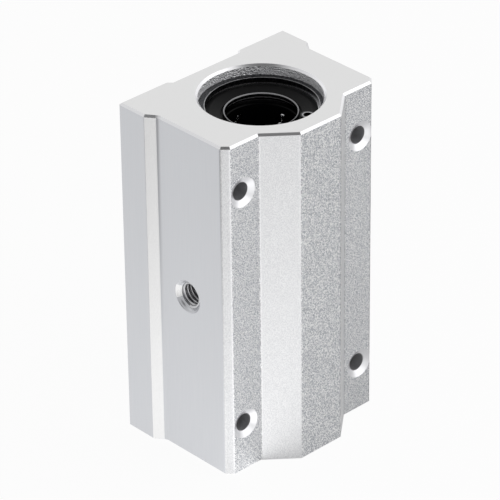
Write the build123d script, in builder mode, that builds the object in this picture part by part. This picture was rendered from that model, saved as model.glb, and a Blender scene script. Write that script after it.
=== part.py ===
from build123d import *
from math import asin, cos, pi, radians, sin
import os

# Long bearing block for a 16 mm shaft: one extruded housing with two ball bushings end to end.
# All sizes are in millimetres. The shaft axis is Z, the mounting face looks along +Y,
# and the origin is on the shaft axis at the lower end face.

# housing outline, across the extrusion
flange_width = 50.0
flange_thickness = 8.1
step_width = 1.9
axis_to_mounting_face = 19.0
axis_to_ear_face = 13.0
axis_to_ridge_face = 19.0
step_height = 2.6
step_fillet = 2.0
ear_facet = 1.6
edge_radius = 0.3
ridge_width = 12.3
ridge_foot_width = 26.4
relief_width = 22.0
relief_depth = 1.0

# housing length and machining
block_length = 85.0
edge_chamfer = 0.5
bore_diameter = 28.0
bore_chamfer = 0.5
bolt_edge_distance = 5.1
bolt_end_distance = 12.5
bolt_hole_diameter = 4.3
countersink_diameter = 7.2
countersink_angle = 120.0
bolt_thread_diameter = 5.0
bolt_thread_depth = 12.0
bolt_thread_chamfer = 0.5
port_thread_diameter = 6.0
port_thread_depth = 8.0
port_core_diameter = 5.0
port_mouth_diameter = 8.0

# circlips in the ends of the housing bore
circlip_setback = 2.5
circlip_thickness = 1.2
circlip_groove_depth = 0.7
circlip_groove_play = 0.1
circlip_fit = 0.05
circlip_width_at_back = 2.25
circlip_width_at_lugs = 1.6
lug_radius = 1.6
lug_hole_diameter = 2.0
lug_hole_inset = 3.2
lug_angle = 20.0

# ball bushing sleeve
bushing_wall = 6.0
bushing_gap = 3.6
sleeve_fit = 0.02
sleeve_chamfer = 0.6
snap_groove_width = 1.6
snap_groove_depth = 0.5
snap_groove_setback = 5.25
seal_seat_wall = 1.4
seal_seat_depth = 3.0

# balls and their endless channels
ball_diameter = 2.778
ball_gap = 0.05
race_play = 0.02
circuit_count = 5
lane_angle = 13.0
return_lift = 1.1
channel_play = 0.06
return_groove_play = 0.08
first_load_angle = 90.0
ball_phase = 0.75

# moulded ball cage
cage_shaft_play = 0.15
cage_race_play = 0.2
cage_end_play = 0.05
cage_end_wall = 0.8
cage_chamfer = 0.2

# end seals, with their retaining rings behind them
seal_fit = 0.05
seal_recess = 0.3
seal_rim_width = 1.05
seal_lip_play = 0.1
seal_lip_width = 0.45
seal_lip_recess = 0.4
seal_lip_round = 0.2
seal_groove_width = 0.45
seal_groove_depth = 1.3
seal_dish_depth = 0.95
seal_heel_width = 0.9
ring_thickness = 0.6
ring_width = 2.75
ring_gap = 3.0

# sizes that follow from the ones above
body_width = flange_width - 2 * step_width
bolt_spacing_across = body_width - 2 * bolt_edge_distance
bolt_spacing_along = block_length - 2 * bolt_end_distance
bore_radius = bore_diameter / 2
shaft_radius = bore_radius - bushing_wall
bushing_length = (block_length - bushing_gap) / 2 - circlip_setback - circlip_thickness
seal_seat_radius = bore_radius - seal_seat_wall
ball_radius = ball_diameter / 2
load_radius = shaft_radius + ball_radius
return_radius = load_radius + return_lift
race_radius = load_radius + ball_radius + race_play
relief_radius = return_radius + ball_radius + return_groove_play
channel_radius = ball_radius + channel_play
bushing_base = {
    "lower": circlip_setback + circlip_thickness,
    "upper": block_length - circlip_setback - circlip_thickness - bushing_length,
}
cage_length = bushing_length - 2 * (seal_seat_depth + cage_end_play)
cage_radius = race_radius - cage_race_play
cage_bore_radius = shaft_radius + cage_shaft_play


def polar(radius, angle):
    """The point at a radius and an angle in degrees round the shaft axis."""
    return Vector(radius * cos(radians(angle)), radius * sin(radians(angle)), 0)


def circuit_lanes(index):
    """The axes of a circuit's load lane and return lane, as points in the end view."""
    load_angle = first_load_angle + index * 360 / circuit_count
    load_lane = polar(load_radius, load_angle)
    return_lane = polar(return_radius, load_angle - 2 * lane_angle)
    return load_lane, return_lane


lane_half_spacing = (circuit_lanes(0)[1] - circuit_lanes(0)[0]).length / 2
lane_length = cage_length - 2 * (cage_end_wall + channel_radius + lane_half_spacing)
loop_length = 2 * lane_length + 2 * pi * lane_half_spacing

# the balls come closest in the turns, where they sit on a chord
turn_pitch = 2 * lane_half_spacing * asin((ball_diameter + ball_gap) / (2 * lane_half_spacing))
balls_per_loop = int(loop_length / turn_pitch)


def save(node, solid):
    """Label a finished piece and write its STEP file."""
    solid.label = node
    export_step(solid, f"parts/{node}.step")


def end_section(height, outward):
    """A plane through the shaft axis, with its own y pointing out of the part at that end."""
    return Plane(origin=(0, 0, height), x_dir=(1, 0, 0), z_dir=(0, -outward, 0))


def circuit_plane(index, middle):
    """The plane through both lanes of a circuit, its normal pointing towards the shaft."""
    load_lane, return_lane = circuit_lanes(index)
    across = (return_lane - load_lane).normalized()
    centre = (load_lane + return_lane) / 2 + Vector(0, 0, middle)
    return Plane(origin=centre, x_dir=across, z_dir=across.cross(Vector(0, 0, 1)))


# housing: the extruded outline, half of it drawn and mirrored
mounting_y = axis_to_mounting_face
ear_y = -axis_to_ear_face
ridge_y = -axis_to_ridge_face
step_top_y = mounting_y - flange_thickness

with BuildPart() as housing:
    with BuildSketch() as outline:
        with BuildLine():
            Polyline(
                (0, mounting_y - relief_depth),
                (relief_width / 2 - relief_depth, mounting_y - relief_depth),
                (relief_width / 2, mounting_y),
                (flange_width / 2, mounting_y),
                (flange_width / 2, step_top_y),
                (body_width / 2, step_top_y - step_height),
                (body_width / 2, ear_y + ear_facet),
                (body_width / 2 - ear_facet, ear_y),
                (ridge_foot_width / 2, ear_y),
                (ridge_width / 2, ridge_y),
                (0, ridge_y),
                close=True,
            )
        make_face()
        step_foot = outline.vertices().sort_by_distance((body_width / 2, step_top_y - step_height))[0]
        fillet(step_foot, step_fillet)
        mirror(about=Plane.YZ)
    extrude(amount=block_length)
    end_outlines = housing.faces().filter_by(Axis.Z).edges()
    chamfer(end_outlines, length=edge_chamfer)

    # the extrusion's long edges are slightly rounded
    rounded_corners = (
        (flange_width / 2, mounting_y),
        (flange_width / 2, step_top_y),
        (body_width / 2, ear_y + ear_facet),
        (body_width / 2 - ear_facet, ear_y),
        (ridge_foot_width / 2, ear_y),
        (ridge_width / 2, ridge_y),
    )
    long_edges = housing.edges().filter_by(Axis.Z)
    for corner_x, corner_y in rounded_corners:
        for side in (-1, 1):
            edge_middle = (side * corner_x, corner_y, block_length / 2)
            fillet(long_edges.sort_by_distance(edge_middle)[0], edge_radius)
            long_edges = housing.edges().filter_by(Axis.Z)

    # the bore, with its mouths and circlip grooves
    with Locations((0, 0, block_length / 2)):
        Hole(radius=bore_radius)
    bore_mouths = housing.edges().filter_by(GeomType.CIRCLE).group_by(SortBy.RADIUS)[-1]
    chamfer(bore_mouths, length=bore_chamfer)
    groove_width = circlip_thickness + circlip_groove_play
    groove_bases = (circlip_setback, block_length - circlip_setback - groove_width)
    for groove_base in groove_bases:
        with BuildSketch(Plane.XY.offset(groove_base)):
            Circle(bore_radius + circlip_groove_depth)
        extrude(amount=groove_width, mode=Mode.SUBTRACT)

    # four bolt holes: countersunk on the ears, threaded from the mounting face
    middle_height = block_length / 2
    ear_plane = Plane(origin=(0, ear_y, middle_height), x_dir=(1, 0, 0), z_dir=(0, -1, 0))
    mounting_plane = Plane(origin=(0, mounting_y, middle_height), x_dir=(1, 0, 0), z_dir=(0, 1, 0))
    with Locations(ear_plane):
        with GridLocations(bolt_spacing_across, bolt_spacing_along, 2, 2):
            CounterSinkHole(
                radius=bolt_hole_diameter / 2,
                counter_sink_radius=countersink_diameter / 2,
                counter_sink_angle=countersink_angle,
            )
    with Locations(mounting_plane):
        with GridLocations(bolt_spacing_across, bolt_spacing_along, 2, 2):
            CounterSinkHole(
                radius=bolt_thread_diameter / 2,
                counter_sink_radius=bolt_thread_diameter / 2 + bolt_thread_chamfer,
                counter_sink_angle=90,
                depth=bolt_thread_depth,
            )

    # the grease port, threaded from the side and drilled on into the gap between the bushings
    side_plane = Plane(origin=(-body_width / 2, 0, middle_height), x_dir=(0, -1, 0), z_dir=(-1, 0, 0))
    with Locations(side_plane):
        CounterSinkHole(
            radius=port_thread_diameter / 2,
            counter_sink_radius=port_mouth_diameter / 2,
            counter_sink_angle=90,
            depth=port_thread_depth,
        )
        Hole(radius=port_core_diameter / 2, depth=body_width / 2)

save("housing", housing.part)

# circlips: wide at the back, narrow towards the lugs, with a hole in each lug
circlip_radius = bore_radius + circlip_groove_depth - circlip_fit
circlip_bore_radius = circlip_radius - (circlip_width_at_back + circlip_width_at_lugs) / 2
circlip_bore_offset = (circlip_width_at_back - circlip_width_at_lugs) / 2
lug_hole_radius = circlip_radius - lug_hole_inset
circlip_base = {
    "lower": circlip_setback,
    "upper": block_length - circlip_setback - circlip_thickness,
}

for place, base in circlip_base.items():
    with BuildPart() as circlip:
        with BuildSketch(Plane.XY.offset(base)):
            Circle(circlip_radius)
            with Locations((0, -circlip_bore_offset)):
                Circle(circlip_bore_radius, mode=Mode.SUBTRACT)
            with BuildLine():
                lug_ends = [polar(2 * circlip_radius, -90 + side * lug_angle) for side in (-1, 1)]
                Polyline((0, 0), *lug_ends, close=True)
            make_face(mode=Mode.SUBTRACT)
            for side in (-1, 1):
                with PolarLocations(lug_hole_radius, 1, start_angle=-90 + side * lug_angle):
                    Circle(lug_radius)
                    Rectangle(lug_hole_inset, 2 * lug_radius, align=(Align.MIN, Align.CENTER))
                    Circle(lug_hole_diameter / 2, mode=Mode.SUBTRACT)
            Circle(circlip_radius, mode=Mode.INTERSECT)
        extrude(amount=circlip_thickness)
    save(f"circlip_{place}", circlip.part)

for place, base in bushing_base.items():
    middle = base + bushing_length / 2
    lane_base = middle - lane_length / 2
    lane_top = middle + lane_length / 2
    lanes = [circuit_lanes(index) for index in range(circuit_count)]

    # sleeve: raceway bore, with room for the balls that turn and come back
    with BuildPart() as sleeve:
        with BuildSketch(Plane.XY.offset(base)):
            Circle(bore_radius - sleeve_fit)
            Circle(race_radius, mode=Mode.SUBTRACT)
        extrude(amount=bushing_length)
        rims = sleeve.edges().filter_by(GeomType.CIRCLE).group_by(SortBy.RADIUS)[-1]
        chamfer(rims, length=sleeve_chamfer)
        with BuildSketch(Plane.XY.offset(lane_base)):
            with Locations([return_lane for load_lane, return_lane in lanes]):
                Circle(ball_radius + return_groove_play)
        extrude(amount=lane_length, mode=Mode.SUBTRACT)
        for end, inward in ((base, 1), (base + bushing_length, -1)):
            with BuildSketch(Plane.XY.offset(end)):
                Circle(relief_radius)
            extrude(amount=inward * (bushing_length - lane_length) / 2, mode=Mode.SUBTRACT)
            with BuildSketch(Plane.XY.offset(end)):
                Circle(seal_seat_radius)
            extrude(amount=inward * seal_seat_depth, mode=Mode.SUBTRACT)
        for side in (-1, 1):
            groove_edge = middle + side * (bushing_length / 2 - snap_groove_setback)
            with BuildSketch(Plane.XY.offset(groove_edge)):
                Circle(bore_radius)
                Circle(bore_radius - snap_groove_depth, mode=Mode.SUBTRACT)
            extrude(amount=-side * snap_groove_width, mode=Mode.SUBTRACT)
    save(f"{place}_sleeve", sleeve.part)

    # cage: a tube with five endless channels, open to the shaft along their load lanes
    with BuildPart() as cage:
        with BuildSketch(Plane.XY.offset(middle - cage_length / 2)):
            Circle(cage_radius)
            Circle(cage_bore_radius, mode=Mode.SUBTRACT)
        extrude(amount=cage_length)
        chamfer(cage.edges().filter_by(GeomType.CIRCLE), length=cage_chamfer)
        for index, (load_lane, return_lane) in enumerate(lanes):
            loop_plane = circuit_plane(index, middle)
            with BuildSketch(loop_plane):
                SlotCenterToCenter(lane_length, 2 * (lane_half_spacing + channel_radius), rotation=90)
                SlotCenterToCenter(
                    lane_length, 2 * (lane_half_spacing - channel_radius), rotation=90, mode=Mode.SUBTRACT
                )
            extrude(amount=-2 * ball_diameter, mode=Mode.SUBTRACT)
            with BuildSketch(Plane.XY.offset(lane_base)):
                with Locations(load_lane, return_lane):
                    Circle(channel_radius)
            extrude(amount=lane_length, mode=Mode.SUBTRACT)
            for turn_height, outward in ((lane_base, -1), (lane_top, 1)):
                turn_centre = (load_lane + return_lane) / 2 + Vector(0, 0, turn_height)
                with BuildSketch(Plane.XY.offset(turn_height)):
                    with Locations(load_lane):
                        Circle(channel_radius)
                turn_axis = Axis(turn_centre, loop_plane.z_dir)
                revolve(axis=turn_axis, revolution_arc=-outward * 180, mode=Mode.SUBTRACT)
    save(f"{place}_cage", cage.part)

    # balls: evenly spaced round each endless channel
    for index in range(circuit_count):
        with BuildPart() as circuit:
            with BuildLine(circuit_plane(index, middle)) as loop:
                half = lane_length / 2
                Line((-lane_half_spacing, -half), (-lane_half_spacing, half))
                CenterArc((0, half), lane_half_spacing, 180, -180)
                Line((lane_half_spacing, half), (lane_half_spacing, -half))
                CenterArc((0, -half), lane_half_spacing, 0, -180)
            ball_path = loop.wires()[0]
            ball_shares = [(ball + ball_phase) / balls_per_loop for ball in range(balls_per_loop)]
            with Locations([ball_path @ share for share in ball_shares]):
                Sphere(ball_radius)
        save(f"{place}_ball_circuit_{index + 1}", circuit.part)

    # end seals and retaining rings, the outer pair next to the housing's end
    block_side = {"lower": -1, "upper": 1}[place]
    for side, outward in (("outer", block_side), ("inner", -block_side)):
        end_height = middle + outward * bushing_length / 2
        section = end_section(end_height, outward)
        seal_outer_radius = seal_seat_radius - seal_fit
        seal_depth = seal_seat_depth - ring_thickness
        lip_radius = shaft_radius + seal_lip_play
        lip_corners = (
            (lip_radius, -seal_lip_recess),
            (lip_radius + seal_lip_width, -seal_lip_recess),
        )
        groove_radius = lip_radius + seal_lip_width + seal_groove_width

        with BuildPart() as seal:
            with BuildSketch(section) as seal_half:
                with BuildLine():
                    Polyline(
                        (seal_outer_radius, -seal_recess),
                        (seal_outer_radius - seal_rim_width, -seal_recess),
                        (groove_radius, -seal_dish_depth),
                        (groove_radius, -seal_groove_depth),
                        (lip_radius + seal_lip_width, -seal_groove_depth),
                        lip_corners[1],
                        lip_corners[0],
                        (lip_radius, -seal_groove_depth),
                        (lip_radius + seal_heel_width, -seal_depth),
                        (seal_outer_radius, -seal_depth),
                        close=True,
                    )
                make_face()
                for corner in lip_corners:
                    corner_place = section.from_local_coords(corner)
                    fillet(seal_half.vertices().sort_by_distance(corner_place)[0], seal_lip_round)
            revolve(axis=Axis.Z)
        save(f"{place}_seal_{side}", seal.part)

        with BuildPart() as ring:
            with BuildSketch(Plane.XY.offset(end_height - outward * seal_seat_depth)):
                Circle(seal_outer_radius)
                Circle(seal_outer_radius - ring_width, mode=Mode.SUBTRACT)
                Rectangle(bore_diameter, ring_gap, align=(Align.MIN, Align.CENTER), mode=Mode.SUBTRACT)
            extrude(amount=outward * ring_thickness)
        save(f"{place}_retaining_ring_{side}", ring.part)
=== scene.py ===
import bpy
from math import pi, radians
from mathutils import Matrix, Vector


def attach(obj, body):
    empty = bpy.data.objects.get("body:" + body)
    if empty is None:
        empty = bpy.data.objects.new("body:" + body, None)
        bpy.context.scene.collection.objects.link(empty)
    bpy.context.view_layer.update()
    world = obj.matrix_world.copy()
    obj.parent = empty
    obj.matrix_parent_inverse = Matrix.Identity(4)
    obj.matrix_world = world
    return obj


# Long aluminium bearing block with two ball bushings in one bore, stood on its lower end.
# Everything is in metres, on the CAD's own axes: the shaft runs up Z, the mounting face looks along +Y.

mm = 0.001

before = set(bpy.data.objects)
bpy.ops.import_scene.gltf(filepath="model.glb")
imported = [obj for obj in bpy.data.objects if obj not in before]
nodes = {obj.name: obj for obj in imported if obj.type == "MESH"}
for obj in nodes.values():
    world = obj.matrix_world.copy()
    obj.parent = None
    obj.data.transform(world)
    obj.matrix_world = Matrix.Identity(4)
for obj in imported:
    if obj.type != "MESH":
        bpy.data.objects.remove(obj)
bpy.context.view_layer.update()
print("frame loaded:", len(nodes), "CAD nodes")


def tone(hexColour):
    # sRGB hex to the linear colour that the shaders take
    parts = [int(hexColour[i:i + 2], 16) / 255 for i in (1, 3, 5)]
    return [p / 12.92 if p <= 0.04045 else ((p + 0.055) / 1.055) ** 2.4 for p in parts] + [1.0]


def addNode(tree, kind, links=None, **settings):
    # links: input name or number -> a node, an output socket or a plain value
    node = tree.nodes.new(kind)
    for key, value in settings.items():
        setattr(node, key, value)
    for key, value in (links or {}).items():
        if isinstance(value, bpy.types.Node):
            value = value.outputs[0]
        if isinstance(value, bpy.types.NodeSocket):
            tree.links.new(value, node.inputs[key])
        else:
            node.inputs[key].default_value = value
    return node


def newMaterial(name):
    mat = bpy.data.materials.new(name)
    mat.use_nodes = True
    mat.node_tree.nodes.clear()
    return mat, mat.node_tree


def dress(name, mat):
    for slot in nodes[name].material_slots:
        slot.material = mat


housing = {
    "smoothColour": "#D3D5D9",      # clear anodised, as extruded or milled
    "dieLineColour": "#DADBDE",
    "slopeColour": "#C9CACD",       # clear anodised over bead blasting
    "openColour": "#B6B9BF",        # the ears and the ridge took more of the beads
    "stepColour": "#FFFFFF",        # the step beside the flange took hardly any
    "endColour": "#DADADA",         # milled square, left bright
    "glintColour": "#FFFFFF",       # bead craters that catch the light
    "cutColour": "#F4F4F6",         # bright chamfers and countersinks, cut after the blasting
    "boredColour": "#F2F2F4",       # freshly bored, brighter than the skin
    "drilledColour": "#D0D0D2",     # drilled through, duller than the countersinks
    "smoothRough": 0.32,
    "blastedRough": 0.46,
    "boreRough": 0.5,
    "drilledRough": 0.62,
    "cutRough": 0.33,
    "crestRough": 0.16,             # the rounded corners of the extrusion are burnished by the die
    # faces are told apart by how far their normals point along Z, up or down, and along Y
    "wallLimit": 0.3,               # a wall's Z is less
    "endLimit": 0.95,               # an end face's Z is more
    "chamferLean": 0.6,             # a chamfer's Z is near this
    "chamferSpread": 0.3,
    "frontLimit": -0.5,             # Y of what looks out on the ridge's side is less
    "openLimit": -0.9,              # and Y of the ears and the ridge less again
    "stepLimit": -0.2,              # the step's Y is less than this, its fillet's too
    "middle": (0.0, 0.0, 42.5 * mm),
    "boltPlace": (18 * mm, 0.0, 30 * mm),   # each hole from the middle, without its signs
    "sinkRadius": 3.62 * mm,
    "drillRadius": 2.2 * mm,
    "portPlace": (-23.1 * mm, 0.0, 42.5 * mm),
    "portReach": 4.15 * mm,
    "boreRadius": 14.05 * mm,
    "mouthRadius": 14.6 * mm,
    "grain": 0.187 * mm,            # real craters are about 0.1 mm, drawn coarser so that they show
    "grainDepth": 0.3 * mm,         # deeper than the real ones for the same reason
    "faintGrain": 0.25,             # the slopes and the step show less of it than the ears and the ridge
    "glintGrain": 1.1,              # the glints' size in grains
    "glintRange": (0.43, 0.57),     # the narrower, the sharper they are
    "glintSwing": 0.7,
    # long corners of the extrusion: across, along Y, and 1 where it stands out or -1 where it goes in
    "corners": ((23.1 * mm, -11.4 * mm, 1), (21.5 * mm, -13 * mm, 1), (13.2 * mm, -13 * mm, -1),
                (6.15 * mm, -19 * mm, 1)),
    "cornerReach": 0.5 * mm,        # they are drawn rounder than 0.3 mm, so that the light on them shows
    "cornerDrop": 0.1 * mm,
    "dieLine": 0.35 * mm,           # real die lines lie closer, drawn coarser so that they show
    "dieStretch": 0.03,             # how little they change along the extrusion
    "dieDepth": 0.01 * mm,
    "dieShare": 0.2,                # their relief on the walls, fading to none on the ends
    "boredGrain": 0.34 * mm,        # torn metal, coarser and deeper than the real so that it shows
    "boredDepth": 0.65 * mm,
    "ringPitch": 0.5 * mm,          # rings that the countersinking tool left in the mouth of the port
    "ringDepth": 0.016 * mm,
}


def makeHousingMaterial(v):
    # anodised 6063 aluminium extrusion: a silvery satin sheen, and where it was bead blasted
    # a grain that sparkles
    mat, tree = newMaterial("anodised aluminium extrusion")
    coords = addNode(tree, "ShaderNodeTexCoord").outputs
    place = coords["Object"]
    at = addNode(tree, "ShaderNodeSeparateXYZ", {0: place}).outputs
    facing = addNode(tree, "ShaderNodeSeparateXYZ", {0: coords["Normal"]}).outputs
    steep = addNode(tree, "ShaderNodeMath", {0: facing["Z"]}, operation="ABSOLUTE")
    upright = addNode(tree, "ShaderNodeMath", {0: steep, 1: v["wallLimit"]}, operation="LESS_THAN")
    flatEnd = addNode(tree, "ShaderNodeMath", {0: steep, 1: v["endLimit"]}, operation="GREATER_THAN")

    # the bolt holes and their countersinks, folded onto one quarter
    fromMiddle = addNode(tree, "ShaderNodeVectorMath", {0: place, 1: v["middle"]}, operation="SUBTRACT")
    folded = addNode(tree, "ShaderNodeVectorMath", {0: fromMiddle}, operation="ABSOLUTE")
    fromBolt = addNode(tree, "ShaderNodeVectorMath", {0: folded, 1: v["boltPlace"]}, operation="SUBTRACT")
    acrossBolt = addNode(tree, "ShaderNodeVectorMath", {0: fromBolt, 1: (1, 0, 1)}, operation="MULTIPLY")
    boltGap = addNode(tree, "ShaderNodeVectorMath", {0: acrossBolt}, operation="LENGTH").outputs["Value"]
    atBolt = addNode(tree, "ShaderNodeMath", {0: boltGap, 1: v["sinkRadius"]}, operation="LESS_THAN")
    drilled = addNode(tree, "ShaderNodeMath", {0: boltGap, 1: v["drillRadius"]}, operation="LESS_THAN")

    # the bore and the mouth of the grease port
    acrossAxis = addNode(tree, "ShaderNodeVectorMath", {0: place, 1: (1, 1, 0)}, operation="MULTIPLY")
    axisGap = addNode(tree, "ShaderNodeVectorMath", {0: acrossAxis}, operation="LENGTH").outputs["Value"]
    inMouth = addNode(tree, "ShaderNodeMath", {0: axisGap, 1: v["mouthRadius"]}, operation="LESS_THAN")
    inBore = addNode(tree, "ShaderNodeMath", {0: axisGap, 1: v["boreRadius"]}, operation="LESS_THAN")
    boreWall = addNode(tree, "ShaderNodeMath", {0: inBore, 1: upright}, operation="MULTIPLY")
    portGap = addNode(tree, "ShaderNodeVectorMath", {0: place, 1: v["portPlace"]}, operation="DISTANCE")
    atPort = addNode(tree, "ShaderNodeMath", {
        0: portGap.outputs["Value"], 1: v["portReach"],
    }, operation="LESS_THAN")

    # the long corners, where the surface turns
    across = addNode(tree, "ShaderNodeMath", {0: at["X"]}, operation="ABSOLUTE")
    halfSection = addNode(tree, "ShaderNodeCombineXYZ", {"X": across, "Y": at["Y"]})
    crestLine, cornerHeight = 0.0, 0.0
    for cornerX, cornerY, outward in v["corners"]:
        corner = addNode(tree, "ShaderNodeVectorMath", {
            0: halfSection, 1: (cornerX, cornerY, 0),
        }, operation="DISTANCE")
        near = addNode(tree, "ShaderNodeMapRange", {
            "Value": corner.outputs["Value"], "From Max": v["cornerReach"], "To Min": 1.0, "To Max": 0.0,
        })
        turn = addNode(tree, "ShaderNodeMath", {0: near, 1: near}, operation="MULTIPLY")
        cornerHeight = addNode(tree, "ShaderNodeMath", {
            0: turn, 1: -outward, 2: cornerHeight,
        }, operation="MULTIPLY_ADD")
        crestLine = addNode(tree, "ShaderNodeMath", {0: near, 1: crestLine}, operation="MAXIMUM")
    crest = addNode(tree, "ShaderNodeMath", {0: crestLine, 1: upright}, operation="MULTIPLY")

    # blasted: what looks out on the ridge side, but for holes, chamfers and the long corners
    inHole = addNode(tree, "ShaderNodeMath", {0: atBolt, 1: inMouth}, operation="MAXIMUM")
    onSkin = addNode(tree, "ShaderNodeMath", {0: upright, 1: inHole}, operation="GREATER_THAN")
    frontSide = addNode(tree, "ShaderNodeMath", {0: facing["Y"], 1: v["frontLimit"]}, operation="LESS_THAN")
    outside = addNode(tree, "ShaderNodeMath", {0: frontSide, 1: onSkin}, operation="MULTIPLY")
    blasted = addNode(tree, "ShaderNodeMath", {0: outside, 1: crest}, operation="GREATER_THAN")

    # the ears and the ridge look square out of the ridge's half, and the step out of the other half
    ridgeHalf = addNode(tree, "ShaderNodeMath", {0: at["Y"], 1: 0.0}, operation="LESS_THAN")
    squareOn = addNode(tree, "ShaderNodeMath", {0: facing["Y"], 1: v["openLimit"]}, operation="LESS_THAN")
    openFace = addNode(tree, "ShaderNodeMath", {0: squareOn, 1: ridgeHalf}, operation="MULTIPLY")
    forward = addNode(tree, "ShaderNodeMath", {0: facing["Y"], 1: v["stepLimit"]}, operation="LESS_THAN")
    stepFace = addNode(tree, "ShaderNodeMath", {0: forward, 1: ridgeHalf}, operation="GREATER_THAN")
    grainShare = addNode(tree, "ShaderNodeMapRange", {"Value": openFace, "To Min": v["faintGrain"]})

    # cut bright: the ends' chamfers and the countersinks, but not the mouth of the port
    slanted = addNode(tree, "ShaderNodeMath", {
        0: steep, 1: v["chamferLean"], 2: v["chamferSpread"],
    }, operation="COMPARE")
    edged = addNode(tree, "ShaderNodeMath", {0: slanted, 1: atBolt}, operation="MAXIMUM")
    spared = addNode(tree, "ShaderNodeMath", {0: flatEnd, 1: atPort}, operation="MAXIMUM")
    cut = addNode(tree, "ShaderNodeMath", {0: edged, 1: spared}, operation="GREATER_THAN")

    # bead craters, with the odd one brighter
    craters = addNode(tree, "ShaderNodeTexNoise", {"Vector": place, "Scale": 1 / v["grain"], "Detail": 1.0})
    glints = addNode(tree, "ShaderNodeTexNoise", {
        "Vector": place, "Scale": 1 / (v["glintGrain"] * v["grain"]), "Detail": 1.0,
    })
    dimmest, brightest = v["glintRange"]
    glint = addNode(tree, "ShaderNodeMapRange", {
        "Value": glints.outputs["Fac"], "From Min": dimmest, "From Max": brightest,
        "To Min": -v["glintSwing"], "To Max": v["glintSwing"],
    })
    sharedGlint = addNode(tree, "ShaderNodeMath", {
        0: glint, 1: grainShare, 2: 0.5,
    }, operation="MULTIPLY_ADD")
    slopeOrOpen = addNode(tree, "ShaderNodeMix", {
        "Factor": openFace, 6: tone(v["slopeColour"]), 7: tone(v["openColour"]),
    }, data_type="RGBA")
    beaten = addNode(tree, "ShaderNodeMix", {
        "Factor": stepFace, 6: slopeOrOpen.outputs[2], 7: tone(v["stepColour"]),
    }, data_type="RGBA")
    blastColour = addNode(tree, "ShaderNodeMix", {
        "Factor": sharedGlint, 6: beaten.outputs[2], 7: tone(v["glintColour"]),
    }, data_type="RGBA")

    # die lines run along the extrusion
    drawnOut = addNode(tree, "ShaderNodeVectorMath", {
        0: place, 1: (1 / v["dieLine"], 1 / v["dieLine"], v["dieStretch"] / v["dieLine"]),
    }, operation="MULTIPLY")
    dieLines = addNode(tree, "ShaderNodeTexNoise", {"Vector": drawnOut, "Scale": 1.0, "Detail": 3.0})
    smoothColour = addNode(tree, "ShaderNodeMix", {
        "Factor": dieLines.outputs["Fac"], 6: tone(v["smoothColour"]), 7: tone(v["dieLineColour"]),
    }, data_type="RGBA")
    colour = addNode(tree, "ShaderNodeMix", {
        "Factor": blasted, 6: smoothColour.outputs[2], 7: blastColour.outputs[2],
    }, data_type="RGBA")

    # each machined part of the surface has its own colour, and each part its own sheen
    for mask, paint in ((flatEnd, "endColour"), (boreWall, "boredColour"), (cut, "cutColour"),
                        (drilled, "drilledColour")):
        colour = addNode(tree, "ShaderNodeMix", {
            "Factor": mask, 6: colour.outputs[2], 7: tone(v[paint]),
        }, data_type="RGBA")
    roughness = v["smoothRough"]
    for mask, rough in ((blasted, "blastedRough"), (boreWall, "boreRough"), (crest, "crestRough"),
                        (cut, "cutRough"), (drilled, "drilledRough")):
        roughness = addNode(tree, "ShaderNodeMix", {"Factor": mask, "A": roughness, "B": v[rough]})

    # the relief: the bore's torn metal, die lines, long corners, the port's rings and the bead craters
    torn = addNode(tree, "ShaderNodeTexNoise", {
        "Vector": place, "Scale": 1 / v["boredGrain"], "Detail": 1.0,
    })
    boredBump = addNode(tree, "ShaderNodeBump", {
        "Height": torn.outputs["Fac"], "Strength": boreWall, "Distance": v["boredDepth"],
    })
    lineShare = addNode(tree, "ShaderNodeMapRange", {
        "Value": steep, "From Max": v["wallLimit"], "To Min": v["dieShare"], "To Max": 0.0,
    })
    lineBump = addNode(tree, "ShaderNodeBump", {
        "Height": dieLines.outputs["Fac"], "Strength": lineShare, "Distance": v["dieDepth"],
        "Normal": boredBump,
    })
    cornerBump = addNode(tree, "ShaderNodeBump", {
        "Height": cornerHeight, "Strength": upright, "Distance": v["cornerDrop"], "Normal": lineBump,
    })
    ringPhase = addNode(tree, "ShaderNodeMath", {
        0: portGap.outputs["Value"], 1: 2 * pi / v["ringPitch"],
    }, operation="MULTIPLY")
    rings = addNode(tree, "ShaderNodeMath", {0: ringPhase}, operation="SINE")
    ringBump = addNode(tree, "ShaderNodeBump", {
        "Height": rings, "Strength": atPort, "Distance": v["ringDepth"], "Normal": cornerBump,
    })
    craterShare = addNode(tree, "ShaderNodeMath", {0: blasted, 1: grainShare}, operation="MULTIPLY")
    craterBump = addNode(tree, "ShaderNodeBump", {
        "Height": craters.outputs["Fac"], "Strength": craterShare, "Distance": v["grainDepth"],
        "Normal": ringBump,
    })
    shader = addNode(tree, "ShaderNodeBsdfPrincipled", {
        "Base Color": colour.outputs[2], "Metallic": 1.0, "Roughness": roughness, "Normal": craterBump,
    })
    addNode(tree, "ShaderNodeOutputMaterial", {"Surface": shader})
    return mat


dress("housing", makeHousingMaterial(housing))
print("housing dressed")

# every grain here is coarser than the real marks, so that it shows
finishes = {
    # ground and hardened: a clean grey shine
    "sleeve": {"label": "ground bearing steel", "colour": "#D0D0D2", "rough": 0.28, "metallic": 1.0,
               "specular": 0.5, "grain": 0.2 * mm, "depth": 0.003 * mm},
    # lapped: near mirrors
    "ball_circuit": {"label": "polished bearing steel", "colour": "#F0F0F2", "rough": 0.16, "metallic": 1.0,
                     "specular": 0.5, "grain": 0.5 * mm, "depth": 0.0005 * mm},
    # plain strip steel: dull grey
    "retaining_ring": {"label": "plain spring steel", "colour": "#8A8A8C", "rough": 0.35, "metallic": 1.0,
                       "specular": 0.5, "grain": 0.3 * mm, "depth": 0.005 * mm},
    # moulded acetal: deep black, softly glossy
    "cage": {"label": "moulded black acetal", "colour": "#050506", "rough": 0.34, "metallic": 0.0,
             "specular": 0.07, "grain": 0.3 * mm, "depth": 0.003 * mm},
}
roughSpread = 0.06                  # how far the roughness strays either way over a surface
finishBump = 0.3


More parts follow.
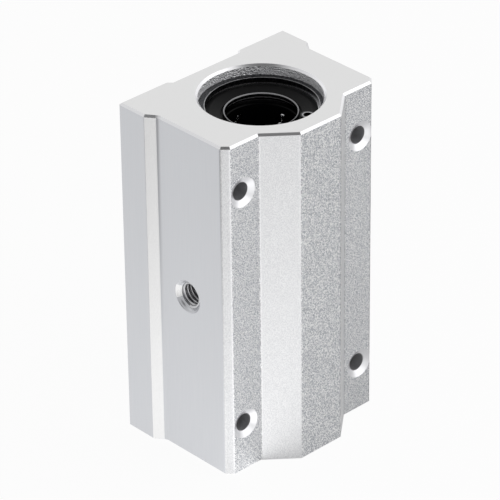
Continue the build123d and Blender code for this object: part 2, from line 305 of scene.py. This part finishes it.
def makeFinish(v):
    mat, tree = newMaterial(v["label"])
    place = addNode(tree, "ShaderNodeTexCoord").outputs["Object"]
    marks = addNode(tree, "ShaderNodeTexNoise", {"Vector": place, "Scale": 1 / v["grain"], "Detail": 3.0})
    roughness = addNode(tree, "ShaderNodeMapRange", {
        "Value": marks.outputs["Fac"],
        "To Min": v["rough"] - roughSpread, "To Max": v["rough"] + roughSpread,
    })
    bump = addNode(tree, "ShaderNodeBump", {
        "Height": marks.outputs["Fac"], "Strength": finishBump, "Distance": v["depth"],
    })
    shader = addNode(tree, "ShaderNodeBsdfPrincipled", {
        "Base Color": tone(v["colour"]), "Metallic": v["metallic"], "Specular IOR Level": v["specular"],
        "Roughness": roughness, "Normal": bump,
    })
    addNode(tree, "ShaderNodeOutputMaterial", {"Surface": shader})
    return mat


for kind, finish in finishes.items():
    finishMat = makeFinish(finish)
    for name in nodes:
        if kind in name:
            dress(name, finishMat)
print("bushings dressed")

circlip = {
    "darkColour": "#202123",        # phosphate coat
    "paleColour": "#4C4D50",        # where it is thin
    "edgeHighlightColour": "#B4B4B6",        # painted highlight: pale along the punched edges, where light would catch their rounded rims
    "rough": 0.3,
    "edgeHighlightRough": 0.6,
    "mottle": 0.5 * mm,             # blotches of the coat
    "mottleRange": (0.35, 0.65),
    "coatDepth": 0.02 * mm,
    "coatBump": 0.5,
    "flatLimit": 0.5,               # the ring's flat sides have more than this of their normal along Z
    "ringCentre": (0.0, -0.325 * mm, 0.0),
    "ringBore": 12.725 * mm,
    "lugHole": (3.916 * mm, -10.759 * mm, 0.0),
    "lugHoleRadius": 1.0 * mm,
    "edgeWidth": 0.16 * mm,
    "lugEdgeWidth": 0.24 * mm,
}


def makeCirclipMaterial(v):
    # phosphated spring steel: mottled satin grey, with a painted highlight along its punched edges
    mat, tree = newMaterial("phosphated spring steel")
    coords = addNode(tree, "ShaderNodeTexCoord").outputs
    place = coords["Object"]
    facing = addNode(tree, "ShaderNodeSeparateXYZ", {0: coords["Normal"]}).outputs
    steep = addNode(tree, "ShaderNodeMath", {0: facing["Z"]}, operation="ABSOLUTE")
    endwards = addNode(tree, "ShaderNodeMath", {0: steep, 1: v["flatLimit"]}, operation="GREATER_THAN")
    flat = addNode(tree, "ShaderNodeVectorMath", {0: place, 1: (1, 1, 0)}, operation="MULTIPLY")
    fromRing = addNode(tree, "ShaderNodeVectorMath", {0: flat, 1: v["ringCentre"]}, operation="DISTANCE")
    innerEdge = addNode(tree, "ShaderNodeMath", {
        0: fromRing.outputs["Value"], 1: v["ringBore"] + v["edgeWidth"],
    }, operation="LESS_THAN")
    bothLugs = addNode(tree, "ShaderNodeVectorMath", {0: flat}, operation="ABSOLUTE")
    sameSide = addNode(tree, "ShaderNodeVectorMath", {0: bothLugs, 1: (1, -1, 0)}, operation="MULTIPLY")
    fromHole = addNode(tree, "ShaderNodeVectorMath", {0: sameSide, 1: v["lugHole"]}, operation="DISTANCE")
    holeEdge = addNode(tree, "ShaderNodeMath", {
        0: fromHole.outputs["Value"], 1: v["lugHoleRadius"] + v["lugEdgeWidth"],
    }, operation="LESS_THAN")
    onLug = addNode(tree, "ShaderNodeMath", {
        0: fromRing.outputs["Value"], 1: v["ringBore"] - v["edgeWidth"],
    }, operation="LESS_THAN")
    # the band along the inner rim, less the lugs: where the painted highlight goes
    bare = addNode(tree, "ShaderNodeMath", {0: innerEdge, 1: onLug}, operation="SUBTRACT")
    alongEdges = addNode(tree, "ShaderNodeMath", {0: bare, 1: holeEdge}, operation="MAXIMUM")
    # painted highlight: a pale, rougher band on the flat sides along the inner rim and round the lug holes
    paintedEdgeHighlight = addNode(tree, "ShaderNodeMath", {0: alongEdges, 1: endwards}, operation="MULTIPLY")
    mottle = addNode(tree, "ShaderNodeTexNoise", {"Vector": place, "Scale": 1 / v["mottle"], "Detail": 3.0})
    darkest, palest = v["mottleRange"]
    patches = addNode(tree, "ShaderNodeMapRange", {
        "Value": mottle.outputs["Fac"], "From Min": darkest, "From Max": palest,
    })
    coat = addNode(tree, "ShaderNodeMix", {
        "Factor": patches, 6: tone(v["darkColour"]), 7: tone(v["paleColour"]),
    }, data_type="RGBA")
    colour = addNode(tree, "ShaderNodeMix", {
        "Factor": paintedEdgeHighlight, 6: coat.outputs[2], 7: tone(v["edgeHighlightColour"]),
    }, data_type="RGBA")
    roughness = addNode(tree, "ShaderNodeMix", {"Factor": paintedEdgeHighlight, "A": v["rough"], "B": v["edgeHighlightRough"]})
    bump = addNode(tree, "ShaderNodeBump", {
        "Height": mottle.outputs["Fac"], "Strength": v["coatBump"], "Distance": v["coatDepth"],
    })
    shader = addNode(tree, "ShaderNodeBsdfPrincipled", {
        "Base Color": colour.outputs[2], "Metallic": 1.0, "Roughness": roughness, "Normal": bump,
    })
    addNode(tree, "ShaderNodeOutputMaterial", {"Surface": shader})
    return mat


circlipSteel = makeCirclipMaterial(circlip)
dress("circlip_upper", circlipSteel)
dress("circlip_lower", circlipSteel)
print("circlips dressed")

seal = {
    "rubberColour": "#070708",
    "lipHighlightColour": "#A8A8AA",         # painted highlight: the lip's rim drawn pale, as where light catches it
    "lipReach": 8.38 * mm,
    "lipLimit": 0.25,               # the rim's normals have more than this along Z
    "rough": 0.4,
    "specular": 0.08,
    "mouldGrain": 0.3 * mm,         # coarser than the mould's, so that it shows
    "mouldDepth": 0.006 * mm,
    "mouldBump": 0.2,
}


def makeSealMaterial(v):
    # moulded nitrile rubber: black with a low sheen, and a painted highlight along the lip
    mat, tree = newMaterial("moulded nitrile rubber")
    coords = addNode(tree, "ShaderNodeTexCoord").outputs
    place = coords["Object"]
    facing = addNode(tree, "ShaderNodeSeparateXYZ", {0: coords["Normal"]}).outputs
    steep = addNode(tree, "ShaderNodeMath", {0: facing["Z"]}, operation="ABSOLUTE")
    endwards = addNode(tree, "ShaderNodeMath", {0: steep, 1: v["lipLimit"]}, operation="GREATER_THAN")
    acrossAxis = addNode(tree, "ShaderNodeVectorMath", {0: place, 1: (1, 1, 0)}, operation="MULTIPLY")
    axisGap = addNode(tree, "ShaderNodeVectorMath", {0: acrossAxis}, operation="LENGTH").outputs["Value"]
    nearShaft = addNode(tree, "ShaderNodeMath", {0: axisGap, 1: v["lipReach"]}, operation="LESS_THAN")
    # painted highlight on the lip's rim: its end-facing faces near the shaft
    lip = addNode(tree, "ShaderNodeMath", {0: endwards, 1: nearShaft}, operation="MULTIPLY")
    colour = addNode(tree, "ShaderNodeMix", {
        "Factor": lip, 6: tone(v["rubberColour"]), 7: tone(v["lipHighlightColour"]),
    }, data_type="RGBA")
    grain = addNode(tree, "ShaderNodeTexNoise", {
        "Vector": place, "Scale": 1 / v["mouldGrain"], "Detail": 2.0,
    })
    roughness = addNode(tree, "ShaderNodeMapRange", {
        "Value": grain.outputs["Fac"],
        "To Min": v["rough"] - roughSpread, "To Max": v["rough"] + roughSpread,
    })
    bump = addNode(tree, "ShaderNodeBump", {
        "Height": grain.outputs["Fac"], "Strength": v["mouldBump"], "Distance": v["mouldDepth"],
    })
    shader = addNode(tree, "ShaderNodeBsdfPrincipled", {
        "Base Color": colour.outputs[2], "Specular IOR Level": v["specular"], "Roughness": roughness,
        "Normal": bump,
    })
    addNode(tree, "ShaderNodeOutputMaterial", {"Surface": shader})
    return mat


sealRubber = makeSealMaterial(seal)
for name in nodes:
    if "seal" in name:
        dress(name, sealRubber)
print("seals dressed")

# screw threads, cut into the plain holes: M6 in the grease port, M5 in the mounting face
portThread = {
    "Pitch": 1.0 * mm,
    "Turns": 7.0,
    "Steps a Turn": 48,
    "Root Radius": 3.02 * mm,
    "Depth": 0.54 * mm,
    "Root Width": 0.9 * mm,
    "Crest Width": 0.25 * mm,
    "Start": (-22.2 * mm, 0.0, 42.5 * mm),
    "Turn": (0.0, radians(90), 0.0),
    "Across": 0.0,                  # how far apart the outer holes are, each way
    "Along": 0.0,
    "Holes Across": 1,
    "Holes Along": 1,
}
boltThreads = {
    "Pitch": 0.8 * mm,
    "Turns": 14.0,
    "Steps a Turn": 48,
    "Root Radius": 2.52 * mm,
    "Depth": 0.43 * mm,
    "Root Width": 0.72 * mm,
    "Crest Width": 0.2 * mm,
    "Start": (0.0, 18.6 * mm, 42.5 * mm),
    "Turn": (radians(90), 0.0, 0.0),
    "Across": 36 * mm,
    "Along": 60 * mm,
    "Holes Across": 2,
    "Holes Along": 2,
}

# freshly cut threads: bright bare metal
cutAluminium = makeFinish({
    "label": "tapped bare aluminium", "colour": "#D2D2D4", "rough": 0.3, "metallic": 1.0,
    "specular": 0.5, "grain": 0.2 * mm, "depth": 0.003 * mm,
})


def makeThreadTree():
    tree = bpy.data.node_groups.new("screw threads in holes", "GeometryNodeTree")
    for label, value in portThread.items():
        kind = {float: "NodeSocketFloat", int: "NodeSocketInt", tuple: "NodeSocketVector"}[type(value)]
        kind = "NodeSocketRotation" if label == "Turn" else kind
        tree.interface.new_socket(label, in_out="INPUT", socket_type=kind)
    tree.interface.new_socket("Material", in_out="INPUT", socket_type="NodeSocketMaterial")
    tree.interface.new_socket("Geometry", in_out="OUTPUT", socket_type="NodeSocketGeometry")
    given = addNode(tree, "NodeGroupInput").outputs

    rise = addNode(tree, "ShaderNodeMath", {0: given["Pitch"], 1: given["Turns"]}, operation="MULTIPLY")
    helix = addNode(tree, "GeometryNodeCurveSpiral", {
        "Resolution": given["Steps a Turn"], "Rotations": given["Turns"],
        "Start Radius": given["Root Radius"], "End Radius": given["Root Radius"], "Height": rise,
    })
    level = addNode(tree, "GeometryNodeSetCurveNormal", {"Curve": helix}, mode="Z_UP")

    # the ridge's section: wide at its root in the wall, narrow at its crest
    sectionPoints = {}
    for point, inwards, width, half in (
        ("Point 1", 0.0, "Root Width", -0.5), ("Point 2", 0.0, "Root Width", 0.5),
        ("Point 3", given["Depth"], "Crest Width", 0.5), ("Point 4", given["Depth"], "Crest Width", -0.5),
    ):
        sideways = addNode(tree, "ShaderNodeMath", {0: given[width], 1: half}, operation="MULTIPLY")
        sectionPoints[point] = addNode(tree, "ShaderNodeCombineXYZ", {"X": inwards, "Y": sideways})
    section = addNode(tree, "GeometryNodeCurvePrimitiveQuadrilateral", sectionPoints, mode="POINTS")
    ridge = addNode(tree, "GeometryNodeCurveToMesh", {
        "Curve": level, "Profile Curve": section, "Fill Caps": True,
    })
    holes = addNode(tree, "GeometryNodeMeshGrid", {
        "Size X": given["Across"], "Size Y": given["Along"],
        "Vertices X": given["Holes Across"], "Vertices Y": given["Holes Along"],
    })
    repeated = addNode(tree, "GeometryNodeInstanceOnPoints", {"Points": holes, "Instance": ridge})
    placed = addNode(tree, "GeometryNodeTransform", {
        "Geometry": repeated, "Translation": given["Start"], "Rotation": given["Turn"],
    })
    whole = addNode(tree, "GeometryNodeRealizeInstances", {"Geometry": placed})
    painted = addNode(tree, "GeometryNodeSetMaterial", {
        "Geometry": whole, "Material": given["Material"],
    })
    addNode(tree, "NodeGroupOutput", {"Geometry": painted})
    return tree


def makeThread(name, tree, v):
    carrier = bpy.data.objects.new(name + " carrier", bpy.data.meshes.new(name + " carrier"))
    bpy.context.scene.collection.objects.link(carrier)
    modifier = carrier.modifiers.new("threads", "NODES")
    modifier.node_group = tree
    for item in tree.interface.items_tree:
        if item.in_out == "INPUT":
            modifier[item.identifier] = cutAluminium if item.name == "Material" else v[item.name]
    carrier.update_tag()
    depsgraph = bpy.context.evaluated_depsgraph_get()
    mesh = bpy.data.meshes.new_from_object(carrier.evaluated_get(depsgraph))
    mesh.name = name
    bpy.data.objects.remove(carrier)
    piece = bpy.data.objects.new(name, mesh)
    bpy.context.scene.collection.objects.link(piece)
    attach(piece, "root")


threadTree = makeThreadTree()
makeThread("port_thread", threadTree, portThread)
makeThread("bolt_threads", threadTree, boltThreads)
print("threads cut")

studio = {
    "paperColour": "#FCFCFC",
    "floorSize": 4.0,
    "shadowShown": 0.06,              # how much of the block's shadow the camera sees on the paper
    "shadowMirrored": 0.15,           # and how much of it the metal shows
    "floorCentre": (-14.3 * mm, -13 * mm, 0.0),
    # painted light and shade: how bright the metal sees the paper near the block and far from it, by
    # bearing from the front:
    # clockwise from above is minus
    "floorBearings": (
        (-180, 1.02, 0.9), (-130, 1.08, 0.94), (-90, 1.2, 0.2), (-60, 1.48, 0.76), (-47, 1.54, 0.93),
        (-35, 1.5, 1.02), (-20, 1.5, 1.18), (0, 1.3, 1.05), (17, 0.9, 0.84), (30, 0.83, 0.78),
        (42, 0.7, 0.67), (60, 0.62, 0.58), (90, 0.52, 0.48), (180, 1.02, 0.9),
    ),
    "floorNear": 30 * mm,
    "floorFar": 160 * mm,
    # the room, as the metal sees it: a light wall behind the block and a dark patch high up in front,
    # each from where it begins to where it is full, as the cosine of the angle to its middle
    "room": 0.62,
    "wallAxis": (0.588, 0.627, 0.512),
    "wallRange": (0.1, 0.98),
    "wallGain": 0.43,
    "darkAxis": (-0.35, -0.38, 0.86),
    "darkRange": (0.8, 0.95),
    "darkLoss": 0.55,
    "ambient": 0.5,                   # the room's light on what doesn't mirror it
    # name, place, width, height, watts
    "lamps": [("front softbox", (0.424, -0.734, 0.53), 1.68, 0.93, 3.4)],
    "lampAim": (0.0, 0.0, 40 * mm),
}


def makeFloor(v):
    half = v["floorSize"] / 2
    floorMesh = bpy.data.meshes.new("floor")
    floorMesh.from_pydata([
        (-half, -half, 0), (half, -half, 0), (half, half, 0), (-half, half, 0),
    ], [], [(0, 1, 2, 3)])
    floor = bpy.data.objects.new("floor", floorMesh)
    bpy.context.scene.collection.objects.link(floor)

    # matt white paper: plain white to the eye, but for the block's soft shadow
    mat, tree = newMaterial("white paper sweep")
    path = addNode(tree, "ShaderNodeLightPath").outputs
    seen = addNode(tree, "ShaderNodeMath", {
        0: path["Is Camera Ray"], 1: path["Is Transmission Ray"],
    }, operation="MAXIMUM")
    seenWhite = addNode(tree, "ShaderNodeMath", {0: seen, 1: 1 - v["shadowShown"]}, operation="MULTIPLY")
    mirrored = addNode(tree, "ShaderNodeMath", {
        0: path["Is Glossy Ray"], 1: 1 - v["shadowMirrored"],
    }, operation="MULTIPLY")
    # for the metal's reflections the paper glows: a painted pool of light in front of and to the left of
    # the block, and painted shade to its right, both changing with distance
    place = addNode(tree, "ShaderNodeTexCoord").outputs["Object"]
    away = addNode(tree, "ShaderNodeVectorMath", {0: place, 1: v["floorCentre"]}, operation="SUBTRACT")
    at = addNode(tree, "ShaderNodeSeparateXYZ", {0: away}).outputs
    ahead = addNode(tree, "ShaderNodeMath", {0: at["Y"], 1: -1.0}, operation="MULTIPLY")
    bearing = addNode(tree, "ShaderNodeMath", {0: at["X"], 1: ahead}, operation="ARCTAN2")
    turned = addNode(tree, "ShaderNodeMapRange", {"Value": bearing, "From Min": -pi, "From Max": pi})
    ramp = addNode(tree, "ShaderNodeValToRGB", {"Fac": turned})
    ramp.color_ramp.interpolation = "EASE"
    for number, (degrees, near, far) in enumerate(v["floorBearings"]):
        stop = ramp.color_ramp.elements[number] if number < 2 else ramp.color_ramp.elements.new(1.0)
        stop.position = (degrees + 180) / 360
        stop.color = (near, far, 0.0, 1.0)
    levels = addNode(tree, "ShaderNodeSeparateColor", {0: ramp}).outputs
    distance = addNode(tree, "ShaderNodeVectorMath", {0: away}, operation="LENGTH").outputs["Value"]
    farShare = addNode(tree, "ShaderNodeMapRange", {
        "Value": distance, "From Min": v["floorNear"], "From Max": v["floorFar"],
    })
    level = addNode(tree, "ShaderNodeMix", {"Factor": farShare, "A": levels["Red"], "B": levels["Green"]})
    glow = addNode(tree, "ShaderNodeEmission", {"Strength": level})
    paper = addNode(tree, "ShaderNodeBsdfDiffuse", {"Color": tone(v["paperColour"])})
    white = addNode(tree, "ShaderNodeEmission", {"Strength": 1.0})
    lit = addNode(tree, "ShaderNodeMixShader", {0: mirrored, 1: paper, 2: glow})
    shown = addNode(tree, "ShaderNodeMixShader", {0: seenWhite, 1: lit, 2: white})
    addNode(tree, "ShaderNodeOutputMaterial", {"Surface": shown})
    floorMesh.materials.append(mat)


def makeRoom(v):
    world = bpy.data.worlds.new("studio")
    bpy.context.scene.world = world
    world.use_nodes = True
    tree = world.node_tree
    tree.nodes.clear()
    path = addNode(tree, "ShaderNodeLightPath").outputs
    seen = addNode(tree, "ShaderNodeMath", {
        0: path["Is Camera Ray"], 1: path["Is Transmission Ray"],
    }, operation="MAXIMUM")
    outward = addNode(tree, "ShaderNodeTexCoord").outputs["Generated"]
    patches = []
    for axis, reach, amount in (("wallAxis", "wallRange", "wallGain"),
                                ("darkAxis", "darkRange", "darkLoss")):
        along = addNode(tree, "ShaderNodeVectorMath", {0: outward, 1: v[axis]}, operation="DOT_PRODUCT")
        begins, full = v[reach]
        patches.append(addNode(tree, "ShaderNodeMapRange", {
            "Value": along.outputs["Value"], "From Min": begins, "From Max": full, "To Max": v[amount],
        }, interpolation_type="SMOOTHSTEP"))
    wall, dark = patches
    lighter = addNode(tree, "ShaderNodeMath", {0: wall, 1: v["room"]}, operation="ADD")
    room = addNode(tree, "ShaderNodeMath", {0: lighter, 1: dark}, operation="SUBTRACT")
    lighting = addNode(tree, "ShaderNodeMix", {
        "Factor": path["Is Glossy Ray"], "A": v["ambient"], "B": room,
    })
    strength = addNode(tree, "ShaderNodeMix", {"Factor": seen, "A": lighting, "B": 1.0})
    sky = addNode(tree, "ShaderNodeBackground", {"Color": (1.0, 1.0, 1.0, 1.0), "Strength": strength})
    addNode(tree, "ShaderNodeOutputWorld", {"Surface": sky})


def makeLamps(v):
    for name, place, width, height, watts in v["lamps"]:
        light = bpy.data.lights.new(name, "AREA")
        light.shape = "RECTANGLE"
        light.size = width
        light.size_y = height
        light.energy = watts
        lamp = bpy.data.objects.new(name, light)
        lamp.location = place
        lamp.rotation_euler = (Vector(v["lampAim"]) - Vector(place)).to_track_quat("-Z", "Y").to_euler()
        bpy.context.scene.collection.objects.link(lamp)


makeFloor(studio)
makeRoom(studio)
makeLamps(studio)

# the photograph's angle
camera = {
    "place": (-476.8 * mm, -504.2 * mm, 458.21 * mm),
    "turn": (59.2270, 0.6023, -43.5250),      # degrees
    "lens": 257.2,
    "sensor": 36.0,
    "clipStart": 10 * mm,
}
camData = bpy.data.cameras.new("camera")
camData.lens = camera["lens"]
camData.sensor_width = camera["sensor"]
camData.clip_start = camera["clipStart"]
cam = bpy.data.objects.new("camera", camData)
cam.location = camera["place"]
cam.rotation_euler = [radians(angle) for angle in camera["turn"]]
bpy.context.scene.collection.objects.link(cam)
bpy.context.scene.camera = cam
bpy.context.scene.view_settings.view_transform = "Standard"
print("studio set")
